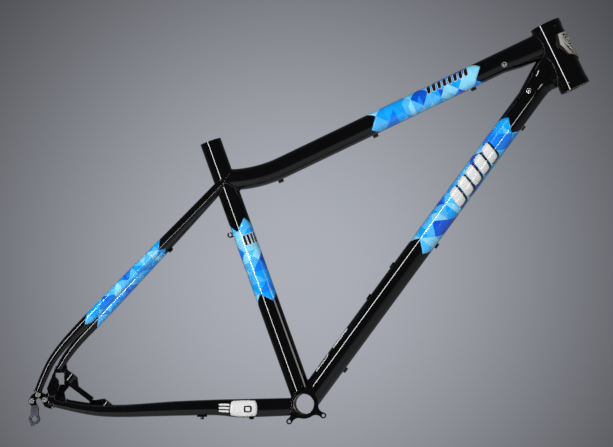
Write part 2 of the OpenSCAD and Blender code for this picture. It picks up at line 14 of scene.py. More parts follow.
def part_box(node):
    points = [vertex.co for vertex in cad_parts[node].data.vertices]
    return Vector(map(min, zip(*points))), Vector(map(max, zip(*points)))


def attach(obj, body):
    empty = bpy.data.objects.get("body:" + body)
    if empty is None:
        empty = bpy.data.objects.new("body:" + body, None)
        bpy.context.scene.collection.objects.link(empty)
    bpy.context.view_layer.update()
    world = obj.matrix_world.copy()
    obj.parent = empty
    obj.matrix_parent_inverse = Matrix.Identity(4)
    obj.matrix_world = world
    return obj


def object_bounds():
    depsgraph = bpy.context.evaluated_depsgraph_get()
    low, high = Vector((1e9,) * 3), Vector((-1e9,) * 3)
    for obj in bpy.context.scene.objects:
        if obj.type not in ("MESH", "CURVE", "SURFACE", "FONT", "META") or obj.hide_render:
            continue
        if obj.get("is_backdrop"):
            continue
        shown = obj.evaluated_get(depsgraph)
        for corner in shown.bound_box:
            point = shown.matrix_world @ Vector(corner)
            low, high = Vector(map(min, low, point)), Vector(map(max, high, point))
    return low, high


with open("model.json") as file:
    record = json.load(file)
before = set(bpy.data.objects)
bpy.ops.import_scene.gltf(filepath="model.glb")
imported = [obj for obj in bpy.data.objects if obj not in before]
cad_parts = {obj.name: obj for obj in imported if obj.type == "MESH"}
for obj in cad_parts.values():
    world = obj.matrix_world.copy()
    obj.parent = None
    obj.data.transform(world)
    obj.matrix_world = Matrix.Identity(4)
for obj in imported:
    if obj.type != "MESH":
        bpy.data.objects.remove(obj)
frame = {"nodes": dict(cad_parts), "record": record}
CAD_BOX = [list(corner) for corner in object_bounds()]
NODES = frame["nodes"]
MOUNTS = {m["name"]: m for m in frame["record"]["mounts"]}
MM = 0.001
ORIGIN = Vector((0, 0, 0))
Y = Vector((0, 1, 0))
Z = Vector((0, 0, 1))


# ---------------------------------------------------------------- materials

class Tree:
    """The nodes of a material or a world: a small wrapper that keeps each node to one line."""

    def __init__(self, owner, output="ShaderNodeOutputMaterial"):
        self.owner = owner
        owner.use_nodes = True
        self.tree = owner.node_tree
        self.tree.nodes.clear()
        self.out = self.add(output)
        self.coordinates = self.add("ShaderNodeTexCoord").outputs
        self.place = self.coordinates["Object"]

    def add(self, kind, inputs=None, **settings):
        node = self.tree.nodes.new(kind)
        for key, value in settings.items():
            setattr(node, key, value)
        for key, value in (inputs or {}).items():
            if isinstance(value, bpy.types.NodeSocket):
                self.tree.links.new(value, node.inputs[key])
            else:
                node.inputs[key].default_value = value
        return node

    def noise(self, scale, detail=3.0, rough=0.55):
        """Noise from 0 to 1, with about scale lumps per metre."""
        return self.add("ShaderNodeTexNoise", {"Vector": self.place, "Scale": scale, "Detail": detail,
                                               "Roughness": rough}).outputs["Fac"]

    def ramp(self, value, low, high, to_low=0.0, to_high=1.0):
        """Maps low..high to to_low..to_high and clamps."""
        return self.add("ShaderNodeMapRange", {"Value": value, "From Min": low, "From Max": high,
                                               "To Min": to_low, "To Max": to_high}).outputs[0]

    def math(self, operation, a, b=0.0):
        return self.add("ShaderNodeMath", {0: a, 1: b}, operation=operation).outputs[0]

    def vector(self, operation, a, b=None, output="Vector"):
        inputs = {0: a} if b is None else {0: a, 1: b}
        return self.add("ShaderNodeVectorMath", inputs, operation=operation).outputs[output]

    def from_axis(self, point, axis):
        """Distance from a line through a point."""
        away = self.vector("SUBTRACT", self.place, tuple(point))
        return self.vector("LENGTH", self.vector("CROSS_PRODUCT", away, tuple(axis)), output="Value")

    def mix(self, factor, a, b):
        node = self.add("ShaderNodeMix", {"Factor": factor}, data_type="RGBA")
        for key, value in ((6, a), (7, b)):
            if isinstance(value, bpy.types.NodeSocket):
                self.tree.links.new(value, node.inputs[key])
            else:
                node.inputs[key].default_value = (*value, 1.0)
        return node.outputs[2]

    def bump(self, height, strength, distance, normal=None):
        inputs = {"Height": height, "Strength": strength, "Distance": distance}
        if normal is not None:
            inputs["Normal"] = normal
        return self.add("ShaderNodeBump", inputs).outputs[0]

    def peel(self, normal=None):
        """The orange peel of a sprayed coat."""
        return self.bump(self.noise(260, 2), 0.03, 0.2 * MM, normal)

    def edge(self, radius):
        """1 on sharp convex or concave edges, 0 on smooth surfaces."""
        round_normal = self.add("ShaderNodeBevel", {"Radius": radius}, samples=6).outputs[0]
        flat_normal = self.add("ShaderNodeNewGeometry").outputs["Normal"]
        dot = self.vector("DOT_PRODUCT", round_normal, flat_normal, "Value")
        return self.ramp(dot, 0.995, 0.86)

    def true_normal(self, axis_line=None):
        """Normal of the ideal tube where the mesh follows it, the mesh's own normal elsewhere."""
        geometry = self.add("ShaderNodeNewGeometry").outputs
        if axis_line is None:
            ideal = self.add("ShaderNodeAttribute", attribute_name="tube_normal").outputs["Vector"]
        else:
            point, axis = axis_line
            away = self.vector("SUBTRACT", self.place, tuple(point))
            along = self.vector("PROJECT", away, tuple(axis))
            out = self.vector("NORMALIZE", self.vector("SUBTRACT", away, along))
            # Inside a bore the normal points towards the axis
            facing = self.math("SIGN", self.vector("DOT_PRODUCT", out, geometry["True Normal"], "Value"))
            ideal = self.add("ShaderNodeVectorMath", {0: out, "Scale": facing},
                             operation="SCALE").outputs[0]
        close = self.vector("DOT_PRODUCT", ideal, geometry["True Normal"], "Value")
        mixed = self.add("ShaderNodeMix", {0: self.ramp(close, 0.955, 0.975), 4: geometry["Normal"],
                                           5: ideal}, data_type="VECTOR").outputs[1]
        return self.vector("NORMALIZE", mixed)

    def finish(self, **inputs):
        """Ends a material in one Principled shader with these inputs."""
        shader = self.add("ShaderNodeBsdfPrincipled")
        for key, value in inputs.items():
            key = key.replace("_", " ")
            if isinstance(value, bpy.types.NodeSocket):
                self.tree.links.new(value, shader.inputs[key])
            elif isinstance(value, tuple) and len(value) == 3:
                shader.inputs[key].default_value = (*value, 1.0)
            else:
                shader.inputs[key].default_value = value
        self.tree.links.new(shader.outputs[0], self.out.inputs[0])
        return self.owner


def surface(name):
    """The empty node tree of a new material."""
    return Tree(bpy.data.materials.new(name))


def gloss_paint(name, tint=(0.0010, 0.0010, 0.0012), axis_line=None, bore=0.0):
    """Gloss paint with orange peel, faint dust and scuffed edges.

    A part that is round about an axis line, a point and a direction, is bare inside its bore.
    """
    t = surface(name)
    peel = t.peel(t.true_normal(axis_line))
    dust = t.ramp(t.noise(900, 6, 0.7), 0.62, 0.86)
    cloud = t.noise(9, 4)
    colour = t.mix(t.ramp(cloud, 0.3, 0.7), tint, tuple(1.7 * c for c in tint))
    colour = t.mix(t.math("MULTIPLY", dust, 0.02), colour, (0.10, 0.10, 0.105))
    chips = t.math("MULTIPLY", t.edge(0.5 * MM), t.ramp(t.noise(260, 4, 0.65), 0.60, 0.66))
    colour = t.mix(t.math("MULTIPLY", chips, 0.4), colour, (0.10, 0.10, 0.105))
    rough = t.math("ADD", t.ramp(cloud, 0.25, 0.75, 0.10, 0.17), t.math("MULTIPLY", dust, 0.10))
    coat, inside = 1.0, 0.0
    if axis_line:
        inside = t.math("LESS_THAN", t.from_axis(*axis_line), bore)
        bare = t.mix(t.noise(70, 5, 0.6), (0.23, 0.18, 0.135), (0.46, 0.41, 0.35))
        colour = t.mix(inside, colour, bare)
        lathe = t.ramp(t.noise(2400, 3, 0.6), 0.2, 0.8, 0.28, 0.5)
        rough = t.add("ShaderNodeMix", {0: inside, 2: rough, 3: lathe}, data_type="FLOAT").outputs[0]
        coat = t.math("SUBTRACT", 1.0, inside)
    return t.finish(Base_Color=colour, Roughness=rough, Normal=peel, Metallic=inside,
                    Coat_Weight=coat, Coat_Roughness=t.ramp(dust, 0, 1, 0.045, 0.15),
                    Coat_Normal=peel, IOR=1.5, Specular_IOR_Level=t.math("MULTIPLY", inside, 0.5))


def band_paint(name):
    """Printed facets under clear coat; each facet's colour is in the mesh's own colour layer."""
    t = surface(name)
    facet = t.add("ShaderNodeVertexColor", layer_name="facet").outputs[0]
    cloud = t.noise(55, 4)
    shade = t.add("ShaderNodeHueSaturation", {"Color": facet, "Saturation": 1.04,
                                              "Value": t.ramp(cloud, 0.3, 0.7, 0.93, 1.05)}).outputs[0]
    speck = t.ramp(t.noise(1300, 4, 0.7), 0.66, 0.8)
    colour = t.mix(t.math("MULTIPLY", speck, 0.10), shade, (0.7, 0.85, 0.95))
    return t.finish(Base_Color=colour, Roughness=t.ramp(cloud, 0.2, 0.8, 0.16, 0.26),
                    Normal=t.peel(), Coat_Weight=1.0,
                    Coat_Roughness=t.ramp(speck, 0, 1, 0.045, 0.15), IOR=1.5)


def print_paint(name, tint, scuff):
    """Screen-printed ink under clear coat, with a faint grain."""
    t = surface(name)
    grain = t.noise(1500, 5, 0.65)
    colour = t.mix(t.ramp(grain, 0.45, 0.8), tint, scuff)
    return t.finish(Base_Color=colour, Roughness=t.ramp(grain, 0.2, 0.8, 0.22, 0.34),
                    Normal=t.bump(grain, 0.04, 0.1 * MM), Coat_Weight=0.8, Coat_Roughness=0.06)


def metal(name, low, high, rough, grain, strength, worn=0.35):
    """Bare metal with grain, cloudy oxide and edges worn bright."""
    t = surface(name)
    fine = t.noise(grain, 4, 0.6)
    cloud = t.noise(130, 5, 0.6)
    colour = t.mix(t.ramp(cloud, 0.3, 0.7), low, high)
    colour = t.mix(t.math("MULTIPLY", t.edge(0.35 * MM), worn), colour, tuple(1.35 * c for c in high))
    colour = t.mix(t.ramp(fine, 0.62, 0.9, 0, 0.5), colour, tuple(0.45 * c for c in low))
    return t.finish(Base_Color=colour, Metallic=1.0, Normal=t.bump(fine, strength, 0.12 * MM),
                    Roughness=t.ramp(fine, 0.25, 0.75, rough[0], rough[1]))


def badge_metal(name, point, axis, floor, low, high):
    """Cast badge: painted shade, near-black, in the recesses, silver on the ridges, bronzed towards the
    bottom.
    """
    t = surface(name)
    ridge = t.ramp(t.from_axis(point, axis), floor + 0.12 * MM, floor + 0.48 * MM)
    height = t.add("ShaderNodeSeparateXYZ", {0: t.place}).outputs[2]
    fade = t.math("ADD", t.ramp(height, low.z, high.z), t.ramp(t.noise(260, 5, 0.7), 0.2, 0.8, -0.3, 0.3))
    worn = t.mix(t.ramp(fade, 0.0, 0.5), (0.24, 0.19, 0.13), (0.60, 0.58, 0.53))
    # Painted shade: the recesses get a near-black colour, and the ridges keep the metal's own colour
    colour = t.mix(ridge, (0.012, 0.011, 0.010), worn)
    fine = t.noise(1800, 4, 0.6)
    return t.finish(Base_Color=colour, Metallic=t.ramp(ridge, 0, 1, 0.3, 0.55),
                    Roughness=t.ramp(fine, 0.2, 0.8, 0.24, 0.44),
                    Normal=t.bump(fine, 0.2, 0.15 * MM))


# ---------------------------------------------------------------- mesh helpers

def grid_faces(rows, columns, first=0):
    """Four-sided faces over a grid of (rows + 1) x (columns + 1) vertices, from the vertex first."""
    corners = [first + i * (columns + 1) + j for i in range(rows) for j in range(columns)]
    return [(k, k + columns + 1, k + columns + 2, k + 1) for k in corners]


def new_piece(name, verts, faces, material, smooth=True):
    """Makes a mesh piece that rides with the frame."""
    mesh = bpy.data.meshes.new(name)
    mesh.from_pydata([tuple(v) for v in verts], [], faces)
    mesh.update()
    if smooth:
        mesh.polygons.foreach_set("use_smooth", [True] * len(mesh.polygons))
    piece = bpy.data.objects.new(name, mesh)
    bpy.context.scene.collection.objects.link(piece)
    mesh.materials.append(material)
    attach(piece, "root")
    return piece


def arrays(node):
    """Vertices and unique edges of a CAD node."""
    mesh = NODES[node].data
    co = np.empty(len(mesh.vertices) * 3)
    mesh.vertices.foreach_get("co", co)
    edges = np.empty(len(mesh.edges) * 2, int)
    mesh.edges.foreach_get("vertices", edges)
    return co.reshape(-1, 3), edges.reshape(-1, 2)


def search_tree(*nodes):
    """One search tree over the faces of several CAD nodes."""
    verts, faces = [], []
    for node in nodes:
        mesh = NODES[node].data
        start = len(verts)
        verts += [v.co.copy() for v in mesh.vertices]
        faces += [[start + i for i in p.vertices] for p in mesh.polygons]
    return BVHTree.FromPolygons(verts, faces)


class Tube:
    """Centre line and half sizes of a CAD tube, measured by slicing its mesh square to itself.

    Stations are distances along the straight line from start towards end. An angle of 0 faces
    the viewer's side (-Y), and 90 degrees faces the tube's direction turned a quarter turn
    anticlockwise in side view.
    """

    def __init__(self, node, start, end, first, last, count):
        co, edges = arrays(node)
        self.node = node
        self.start = Vector(start)
        self.dir = (Vector(end) - self.start).normalized()
        self.stations = np.linspace(first, last, count)
        centres = [self.start + self.dir * float(s) for s in self.stations]
        for _ in range(3):
            headings = [(centres[min(i + 1, count - 1)] - centres[max(i - 1, 0)]).normalized()
                        for i in range(count)]
            self.rows = [self.slice(co, edges, c, h) for c, h in zip(centres, headings)]
            centres = [Vector(row[:3]) for row in self.rows]
        self.rows = np.array(self.rows)

    def slice(self, co, edges, point, heading):
        """Centre, up, side, half height and half width where a plane cuts the tube."""
        up = Vector((-heading.z, 0, heading.x)).normalized()
        side = up.cross(heading)
        side *= -1 if side.y > 0 else 1
        rel = co - np.array(point)
        d = rel @ np.array(heading)
        a, b = d[edges[:, 0]], d[edges[:, 1]]
        hit = (a < 0) != (b < 0)
        f = (a[hit] / (a[hit] - b[hit]))[:, None]
        p = rel[edges[hit, 0]] * (1 - f) + rel[edges[hit, 1]] * f
        u, w = p @ np.array(up), p @ np.array(side)
        centre = point + up * float(u.max() + u.min()) / 2 + side * float(w.max() + w.min()) / 2
        return (*centre, *up, *side, (u.max() - u.min()) / 2, (w.max() - w.min()) / 2)

    def at(self, s):
        """Centre, up, side, half height and half width at a station."""
        row = [float(np.interp(s, self.stations, self.rows[:, k])) for k in range(11)]
        return Vector(row[:3]), Vector(row[3:6]), Vector(row[6:9]), row[9], row[10]

    def point(self, s, angle, lift=0.0):
        centre, up, side, tall, wide = self.at(s)
        return (centre + side * math.cos(angle) * (wide + lift)
                + up * math.sin(angle) * (tall + lift))

    def station(self, x):
        """The station where the centre line passes a given x."""
        xs = self.rows[:, 0]
        order = np.argsort(xs)
        return float(np.interp(x, xs[order], self.stations[order]))


def mount_line(name):
    """Middle point, direction and length of a round mount."""
    m = MOUNTS[name]
    return Vector(m["pos_m"]), Vector(m["axis"]).normalized(), m["dims"]["length_mm"] * MM


# ---------------------------------------------------------------- where the tubes run

head_mid, head_up, head_len = mount_line("headset_bore")
seat_mid, seat_up, seat_bore_len = mount_line("seatpost_bore")
boss_low = mount_line("lower_bottle_boss")[0]
boss_high = mount_line("upper_bottle_boss")[0]
down_dir = (boss_high - boss_low).normalized()
seat_top = seat_mid + seat_up * seat_bore_len / 2
shell_low, shell_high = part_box("bottom_bracket_shell")


def crossing(node, x):
    """Middle of a tube's side view where it passes x."""
    co, edges = arrays(node)
    a, b = co[edges[:, 0]], co[edges[:, 1]]
    hit = (a[:, 0] < x) != (b[:, 0] < x)
    f = ((x - a[hit, 0]) / (b[hit, 0] - a[hit, 0]))[:, None]
    p = a[hit] + (b[hit] - a[hit]) * f
    return Vector((x, 0, (p[:, 2].max() + p[:, 2].min()) / 2))


def stay(node, x_front, x_rear):
    """A stay as a tube from its front end to its rear end."""
    lo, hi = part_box(node)
    inner, outer = (hi.y, lo.y) if lo.y + hi.y < 0 else (lo.y, hi.y)
    a, b = crossing(node, x_front), crossing(node, x_rear)
    a.y, b.y = inner, outer
    return Tube(node, a, b, first=0, last=(b - a).length, count=60)


DOWN = Tube("down_tube", ORIGIN, down_dir, first=0.045, last=0.665, count=60)
SEAT = Tube("seat_tube", ORIGIN, seat_up, first=0.034, last=seat_top.length - 0.002, count=20)
# Top tube stations count from where its straight run would pass x = 0
top_rear, top_front = crossing("top_tube", 0.02), crossing("top_tube", 0.30)
top_dir = (top_front - top_rear).normalized()
top_zero = top_rear - top_dir * (top_rear.x / top_dir.x)
TOP = Tube("top_tube", top_zero, top_zero + top_dir, first=-0.090, last=0.440, count=90)
# The x of each stay's front and rear end
STAY_ENDS = {"right_seatstay": (-0.135, -0.424), "left_seatstay": (-0.135, -0.404),
             "right_chainstay": (-0.028, -0.385), "left_chainstay": (-0.028, -0.385)}
STAYS = {node: stay(node, *ends) for node, ends in STAY_ENDS.items()}


# ---------------------------------------------------------------- colour bands

# Linear colours of the printed facets, palest first, and how often each is used
BLUES = [(0.26, 0.66, 0.90), (0.10, 0.48, 0.93), (0.035, 0.36, 0.90), (0.010, 0.20, 0.82),
         (0.004, 0.085, 0.62)]
WEIGHTS = [24, 34, 20, 12, 8]
# Outer faces above the tube, and thicknesses
BAND_LIFT = 0.14 * MM
BAND_SKIN = 0.12 * MM
INK_LIFT = 0.24 * MM
INK_SKIN = 0.10 * MM
SECOND_INK = INK_LIFT + INK_SKIN
THIRD_INK = SECOND_INK + INK_SKIN
SEAM = 0.03 * MM


def wrap_angle(a):
    return (a + math.pi) % (2 * math.pi) - math.pi


def outward(piece, tube):
    """Merges a skin's patches and turns every face away from the tube's centre line."""
    bm = bmesh.new()
    bm.from_mesh(piece.data)
    bmesh.ops.remove_doubles(bm, verts=bm.verts, dist=SEAM)
    bm.normal_update()
    for f in bm.faces:
        m = f.calc_center_median()
        if f.normal.dot(m - tube.at((m - tube.start).dot(tube.dir))[0]) < 0:
            f.normal_flip()
    bm.to_mesh(piece.data)
    bm.free()


def thicken(piece, thickness):
    """Turns a skin into a closed sheet, growing inwards."""
    solid = piece.modifiers.new("skin", "SOLIDIFY")
    solid.thickness = thickness
    solid.offset = -1


def colour_band(name, tube, ends, rows, tip, far_tip, seed, columns=3):
    """A band of printed triangles round a tube, between two stations.

    Each end is a zigzag with as many points as there are columns. One of the first end's points
    is at the angle tip, in degrees. The last end's is at far_tip, or follows the triangles if
    far_tip is None.
    """
    rng = random.Random(seed)
    half = math.pi / columns
    first, last = ends
    pitch = (last - first) / rows
    near = math.radians(tip)
    far = near + half * (rows % 2) if far_tip is None else math.radians(far_tip)
    verts, faces, tints = [], [], []
    cells = 8

    def tooth(angle, at):
        return abs(wrap_angle((angle - at) * columns)) / math.pi

    def inside(row, angle):
        return tooth(angle, near) <= row <= rows - tooth(angle, far)

    def patch(a, b, c, tint, cut_tint, cut):
        """One lattice triangle; cells beyond the cut, counted from corner a, get another tint."""
        index = {}
        for i in range(cells + 1):
            for j in range(cells + 1 - i):
                u, v = i / cells, j / cells
                row, angle = (a[k] * (1 - u - v) + b[k] * u + c[k] * v for k in (0, 1))
                index[i, j] = len(verts)
                verts.append(tube.point(first + row * pitch, angle, BAND_LIFT))
        for i in range(cells):
            for j in range(cells - i):
                faces.append((index[i, j], index[i + 1, j], index[i, j + 1]))
                tints.append(cut_tint if i + j >= cut else tint)
                if i + j < cells - 1:
                    faces.append((index[i + 1, j], index[i + 1, j + 1], index[i, j + 1]))
                    tints.append(cut_tint if i + j + 1 >= cut else tint)

    def shade(pick):
        factor = rng.uniform(0.9, 1.1)
        return tuple(min(1.0, c * factor) for c in BLUES[max(0, min(len(BLUES) - 1, pick))])

    for row in range(-1, rows + 2):
        for k in range(2 * columns):
            if (row + k) % 2:
                continue
            # A diamond: the two triangles that share the side from (row, k) to (row, k + 2)
            pick = rng.choices(range(len(BLUES)), WEIGHTS)[0]
            for step in (-1, 1):
                corners = [(row, near + k * half), (row, near + (k + 2) * half),
                           (row + step, near + (k + 1) * half)]
                turn = rng.randrange(3)
                corners = corners[turn:] + corners[:turn]
                tint = shade(pick + rng.choice((0, 0, 1)))
                other = shade(pick + rng.choice((-1, 0, 1)))
                cut = rng.choice((cells, cells, cells // 2))
                if inside(row + step / 3, near + (k + 1) * half):
                    patch(*corners, tint, other, cut)
    piece = new_piece(name, verts, faces, BAND)
    layer = piece.data.color_attributes.new("facet", "FLOAT_COLOR", "CORNER")
    flat = np.repeat(np.array([(*t, 1.0) for t in tints], np.float32), 3, axis=0)
    layer.data.foreach_set("color", flat.ravel())
    outward(piece, tube)
    thicken(piece, BAND_SKIN)


def printed(name, tube, marks, material, lift=INK_LIFT):
    """Rounded slanted marks on a tube, whose outer faces are a lift above it.

    Each mark is (middle station, middle angle, length, angle spanned, slant): lengths in
    millimetres along the tube, angles in degrees round it.
    """
    verts, faces = [], []
    along, around = 10, 14
    corner = 0.42
    for s, angle, length, span, slant in marks:
        start = len(verts)
        for i in range(along + 1):
            for j in range(around + 1):
                u, v = 2 * i / along - 1, 2 * j / around - 1
                x = u * math.sqrt(1 - corner * v * v / 2)
                y = v * math.sqrt(1 - corner * u * u / 2)
                verts.append(tube.point((s + x * length / 2 + y * slant / 2) * MM,
                                        math.radians(angle + y * span / 2), lift))
        faces += grid_faces(along, around, start)
    piece = new_piece(name, verts, faces, material)
    outward(piece, tube)
    thicken(piece, INK_SKIN)


def seen_at(share):
    """Angle round a tube, in degrees, of a point seen a share of the radius off its middle."""
    return math.degrees(math.asin(share))


def bars(first, last, count, low, high, slant, fill):
    """A row of slanted marks between two stations in millimetres and two shares of the radius."""
    step = (last - first) / count
    a, b = seen_at(low), seen_at(high)
    return [(first + step * (i + 0.5), (a + b) / 2, step * fill, b - a, slant)
            for i in range(count)]


def enlarged(marks, length, span, ahead=0.0, turn=0.0):
    """The same marks, each a little larger, to show as an edge behind them."""
    return [(s + ahead, angle + turn, mark_length + length, mark_span + span, slant)
            for s, angle, mark_length, mark_span, slant in marks]


# ---------------------------------------------------------------- weld beads

RIPPLE = 3.0 * MM
RIPPLE_STEPS = 5
BEAD_SIDES = 12
BOX_GAP = 0.02 * MM


def weld_bead(name, loop, radius, seed):
    """A closed bead of overlapping ripples along a loop of points."""
    rng = random.Random(seed)
    pts = [Vector(p) for p in loop]
    n = len(pts)
    lengths = [(pts[(i + 1) % n] - pts[i]).length for i in range(n)]
    total = sum(lengths)
    count = max(8, round(total / RIPPLE))
    steps = count * RIPPLE_STEPS
    centre = sum(pts, Vector()) / n
    sizes = [rng.uniform(0.92, 1.08) for _ in range(count)]
    marks, walked, j = [], 0.0, 0
    for i in range(steps):
        goal = total * i / steps
        while walked + lengths[j] < goal:
            walked += lengths[j]
            j += 1
        marks.append(pts[j].lerp(pts[(j + 1) % n], (goal - walked) / lengths[j]))
    verts, faces = [], []
    for i, p in enumerate(marks):
        ahead = (marks[(i + 1) % steps] - marks[i - 1]).normalized()
        out = p - centre
        out = (out - ahead * out.dot(ahead)).normalized()
        other = ahead.cross(out)
        # Each ripple starts wide and leaning over, and narrows towards the next
        phase = (i % RIPPLE_STEPS) / RIPPLE_STEPS
        r = radius * sizes[i // RIPPLE_STEPS] * (1.0 - 0.24 * phase ** 1.5)
        here, there = i * BEAD_SIDES, (i + 1) % steps * BEAD_SIDES
        for k in range(BEAD_SIDES):
            a = 2 * math.pi * k / BEAD_SIDES
            lean = ahead * (0.35 * r * (1 - phase))
            verts.append(p + out * (math.cos(a) * r) + other * (math.sin(a) * r) + lean)
            m = (k + 1) % BEAD_SIDES
            faces.append((here + k, here + m, there + m, there + k))
    # The stays' ends touch the CAD box, so a bead there is flattened to stay inside it
    for v in verts:
        v.y = min(max(v.y, CAD_BOX[0][1] + BOX_GAP), CAD_BOX[1][1] - BOX_GAP)
    new_piece(name, verts, faces, WELD)


def full_turn(count):
    """Equally spaced angles round a circle."""
    return [2 * math.pi * k / count for k in range(count)]


ROUND = full_turn(72)
BACK_STEP = 4 * MM
RAY_REACH = 0.12


def cope_loop(tube, station, towards, target):
    """Where a tube's surface runs into another part: rays along the tube from each angle."""
    loop = []
    for a in ROUND:
        p, back = tube.point(station, a), tube.point(station - towards * BACK_STEP, a)
        hit = target.ray_cast(p, (p - back).normalized(), RAY_REACH)[0]
        if hit is not None:
            loop.append(hit)
    return loop


# ---------------------------------------------------------------- build: materials

def bored_paint(name, point, axis, mount, margin):
    """Paint for a part that is bare inside a mount's bore, and a margin around it."""
    bore = MOUNTS[mount]["dims"]["r_mm"] * MM + margin
    return gloss_paint(name, axis_line=(point, axis), bore=bore)


PAINT = gloss_paint("gloss_black_paint")
HEAD_PAINT = bored_paint("head_tube_paint", head_mid, head_up, "headset_bore", 0.45 * MM)
SEAT_PAINT = bored_paint("seat_tube_paint", ORIGIN, seat_up, "seatpost_bore", 0.15 * MM)
SHELL_PAINT = bored_paint("shell_paint", ORIGIN, Y, "bottom_bracket", 0.15 * MM)
SHELL_METAL = metal("cut_steel", (0.20, 0.17, 0.14), (0.42, 0.38, 0.33), (0.28, 0.45), 1800, 0.15)
WELD = gloss_paint("painted_weld", tint=(0.0014, 0.0014, 0.0016))
BAND = band_paint("blue_facets")
WHITE = print_paint("white_ink", (0.68, 0.68, 0.67), (0.52, 0.52, 0.50))
BLACK = print_paint("black_ink", (0.004, 0.004, 0.005), (0.012, 0.012, 0.013))
HANGER = metal("grey_alloy", (0.034, 0.036, 0.048), (0.060, 0.064, 0.082), (0.40, 0.52), 1100, 0.12,
               worn=0.2)
BOLT = metal("socket_bolt_steel", (0.10, 0.10, 0.098), (0.17, 0.17, 0.165), (0.30, 0.42), 1600, 0.06)
PLUG = metal("plug_steel", (0.62, 0.62, 0.62), (0.82, 0.82, 0.82), (0.08, 0.2), 2200, 0.1)
BOSS = metal("blackened_steel", (0.020, 0.020, 0.022), (0.05, 0.05, 0.055), (0.3, 0.45), 1700, 0.3)
# The badge's plate lies on the middle of the head tube, which is slimmer than its end rings
END_RING_RISE = 0.8 * MM
BADGE_PLATE = 1.2 * MM
BADGE_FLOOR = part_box("head_tube")[1].y - END_RING_RISE + BADGE_PLATE
BADGE = badge_metal("cast_badge_metal", head_mid, head_up, BADGE_FLOOR, *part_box("head_badge"))

LOOKS = {"head_tube": HEAD_PAINT, "seat_tube": SEAT_PAINT, "bottom_bracket_shell": SHELL_PAINT,
         "head_badge": BADGE, "derailleur_hanger": HANGER, "hanger_bolts": BOLT,
         "port_plugs": PLUG, "bottle_bosses": BOSS}

# Shading is smooth across turns below one angle, and edges that turn more than another are rounded
SMOOTH_BELOW = math.radians(28)
ROUND_ABOVE = math.radians(35)
FLAT_WITHIN = math.radians(0.5)
WELD_WITHIN = 0.002 * MM


def geometry_group(name):
    """A node group for a modifier, with the sockets where geometry comes in and goes out."""
    group = bpy.data.node_groups.new(name, "GeometryNodeTree")
    for way in ("INPUT", "OUTPUT"):
        group.interface.new_socket("Geometry", in_out=way, socket_type="NodeSocketGeometry")
    start, end = group.nodes.new("NodeGroupInput"), group.nodes.new("NodeGroupOutput")
    return group, start.outputs[0], end.inputs[0]


def clean_group():
    """Drops the CAD's own normals and welds its vertices."""
    group, start, end = geometry_group("clean_mesh")
    drop = group.nodes.new("GeometryNodeRemoveAttribute")
    drop.inputs["Name"].default_value = "custom_normal"
    weld = group.nodes.new("GeometryNodeMergeByDistance")
    weld.inputs["Distance"].default_value = WELD_WITHIN
    group.links.new(start, drop.inputs[0])
    group.links.new(drop.outputs[0], weld.inputs[0])
    group.links.new(weld.outputs[0], end)
    return group


def smooth_group():
    """Smooth faces that meet in sharp edges where they turn a lot."""
    group, start, end = geometry_group("smooth_by_angle")
    faces = group.nodes.new("GeometryNodeSetShadeSmooth")
    faces.domain = "FACE"
    edges = group.nodes.new("GeometryNodeSetShadeSmooth")
    edges.domain = "EDGE"
    edges.inputs["Shade Smooth"].default_value = False
    turn = group.nodes.new("GeometryNodeInputMeshEdgeAngle")
    sharp = group.nodes.new("FunctionNodeCompare")
    sharp.data_type = "FLOAT"
    sharp.operation = "GREATER_THAN"
    sharp.inputs[1].default_value = SMOOTH_BELOW
    group.links.new(turn.outputs[0], sharp.inputs[0])
    group.links.new(start, faces.inputs[0])
    group.links.new(faces.outputs[0], edges.inputs[0])
    group.links.new(sharp.outputs[0], edges.inputs["Selection"])
    group.links.new(edges.outputs[0], end)
    return group


CLEAN, SMOOTH = clean_group(), smooth_group()


def refined(o, bevel):
    """Cleans a CAD node for display, rounds its sharp edges and smooths its shading."""
    o.modifiers.new("clean", "NODES").node_group = CLEAN
    if bevel:
        planar = o.modifiers.new("planar", "DECIMATE")
        planar.decimate_type = "DISSOLVE"
        planar.angle_limit = FLAT_WITHIN
        edge = o.modifiers.new("round", "BEVEL")
        edge.width = bevel
        edge.segments = 2
        edge.limit_method = "ANGLE"
        edge.angle_limit = ROUND_ABOVE
        edge.use_clamp_overlap = True
    o.modifiers.new("shade", "NODES").node_group = SMOOTH
    if bevel:
        o.modifiers.new("flat_faces", "WEIGHTED_NORMAL").keep_sharp = True


def ideal_skin(name, tube):
    """A smooth skin of a whole tube, unlinked, that carries its normals in an attribute."""
    around, rings = 96, len(tube.stations)
    verts = [tube.point(float(s), 2 * math.pi * k / around)
             for s in tube.stations for k in range(around)]
    faces = [(i * around + k, i * around + (k + 1) % around, (i + 1) * around + (k + 1) % around,
              (i + 1) * around + k) for i in range(rings - 1) for k in range(around)]
    skin = bpy.data.meshes.new(name)
    skin.from_pydata(verts, [], faces)
    skin.update()
    normals = np.empty(len(verts) * 3, np.float32)
    skin.vertex_normals.foreach_get("vector", normals)
    middles = np.repeat(tube.rows[:, :3], around, axis=0)
    if ((np.array(verts) - middles) * normals.reshape(-1, 3)).sum() < 0:
        normals *= -1
    skin.attributes.new("ideal", "FLOAT_VECTOR", "POINT").data.foreach_set("vector", normals)
    return bpy.data.objects.new(name, skin)


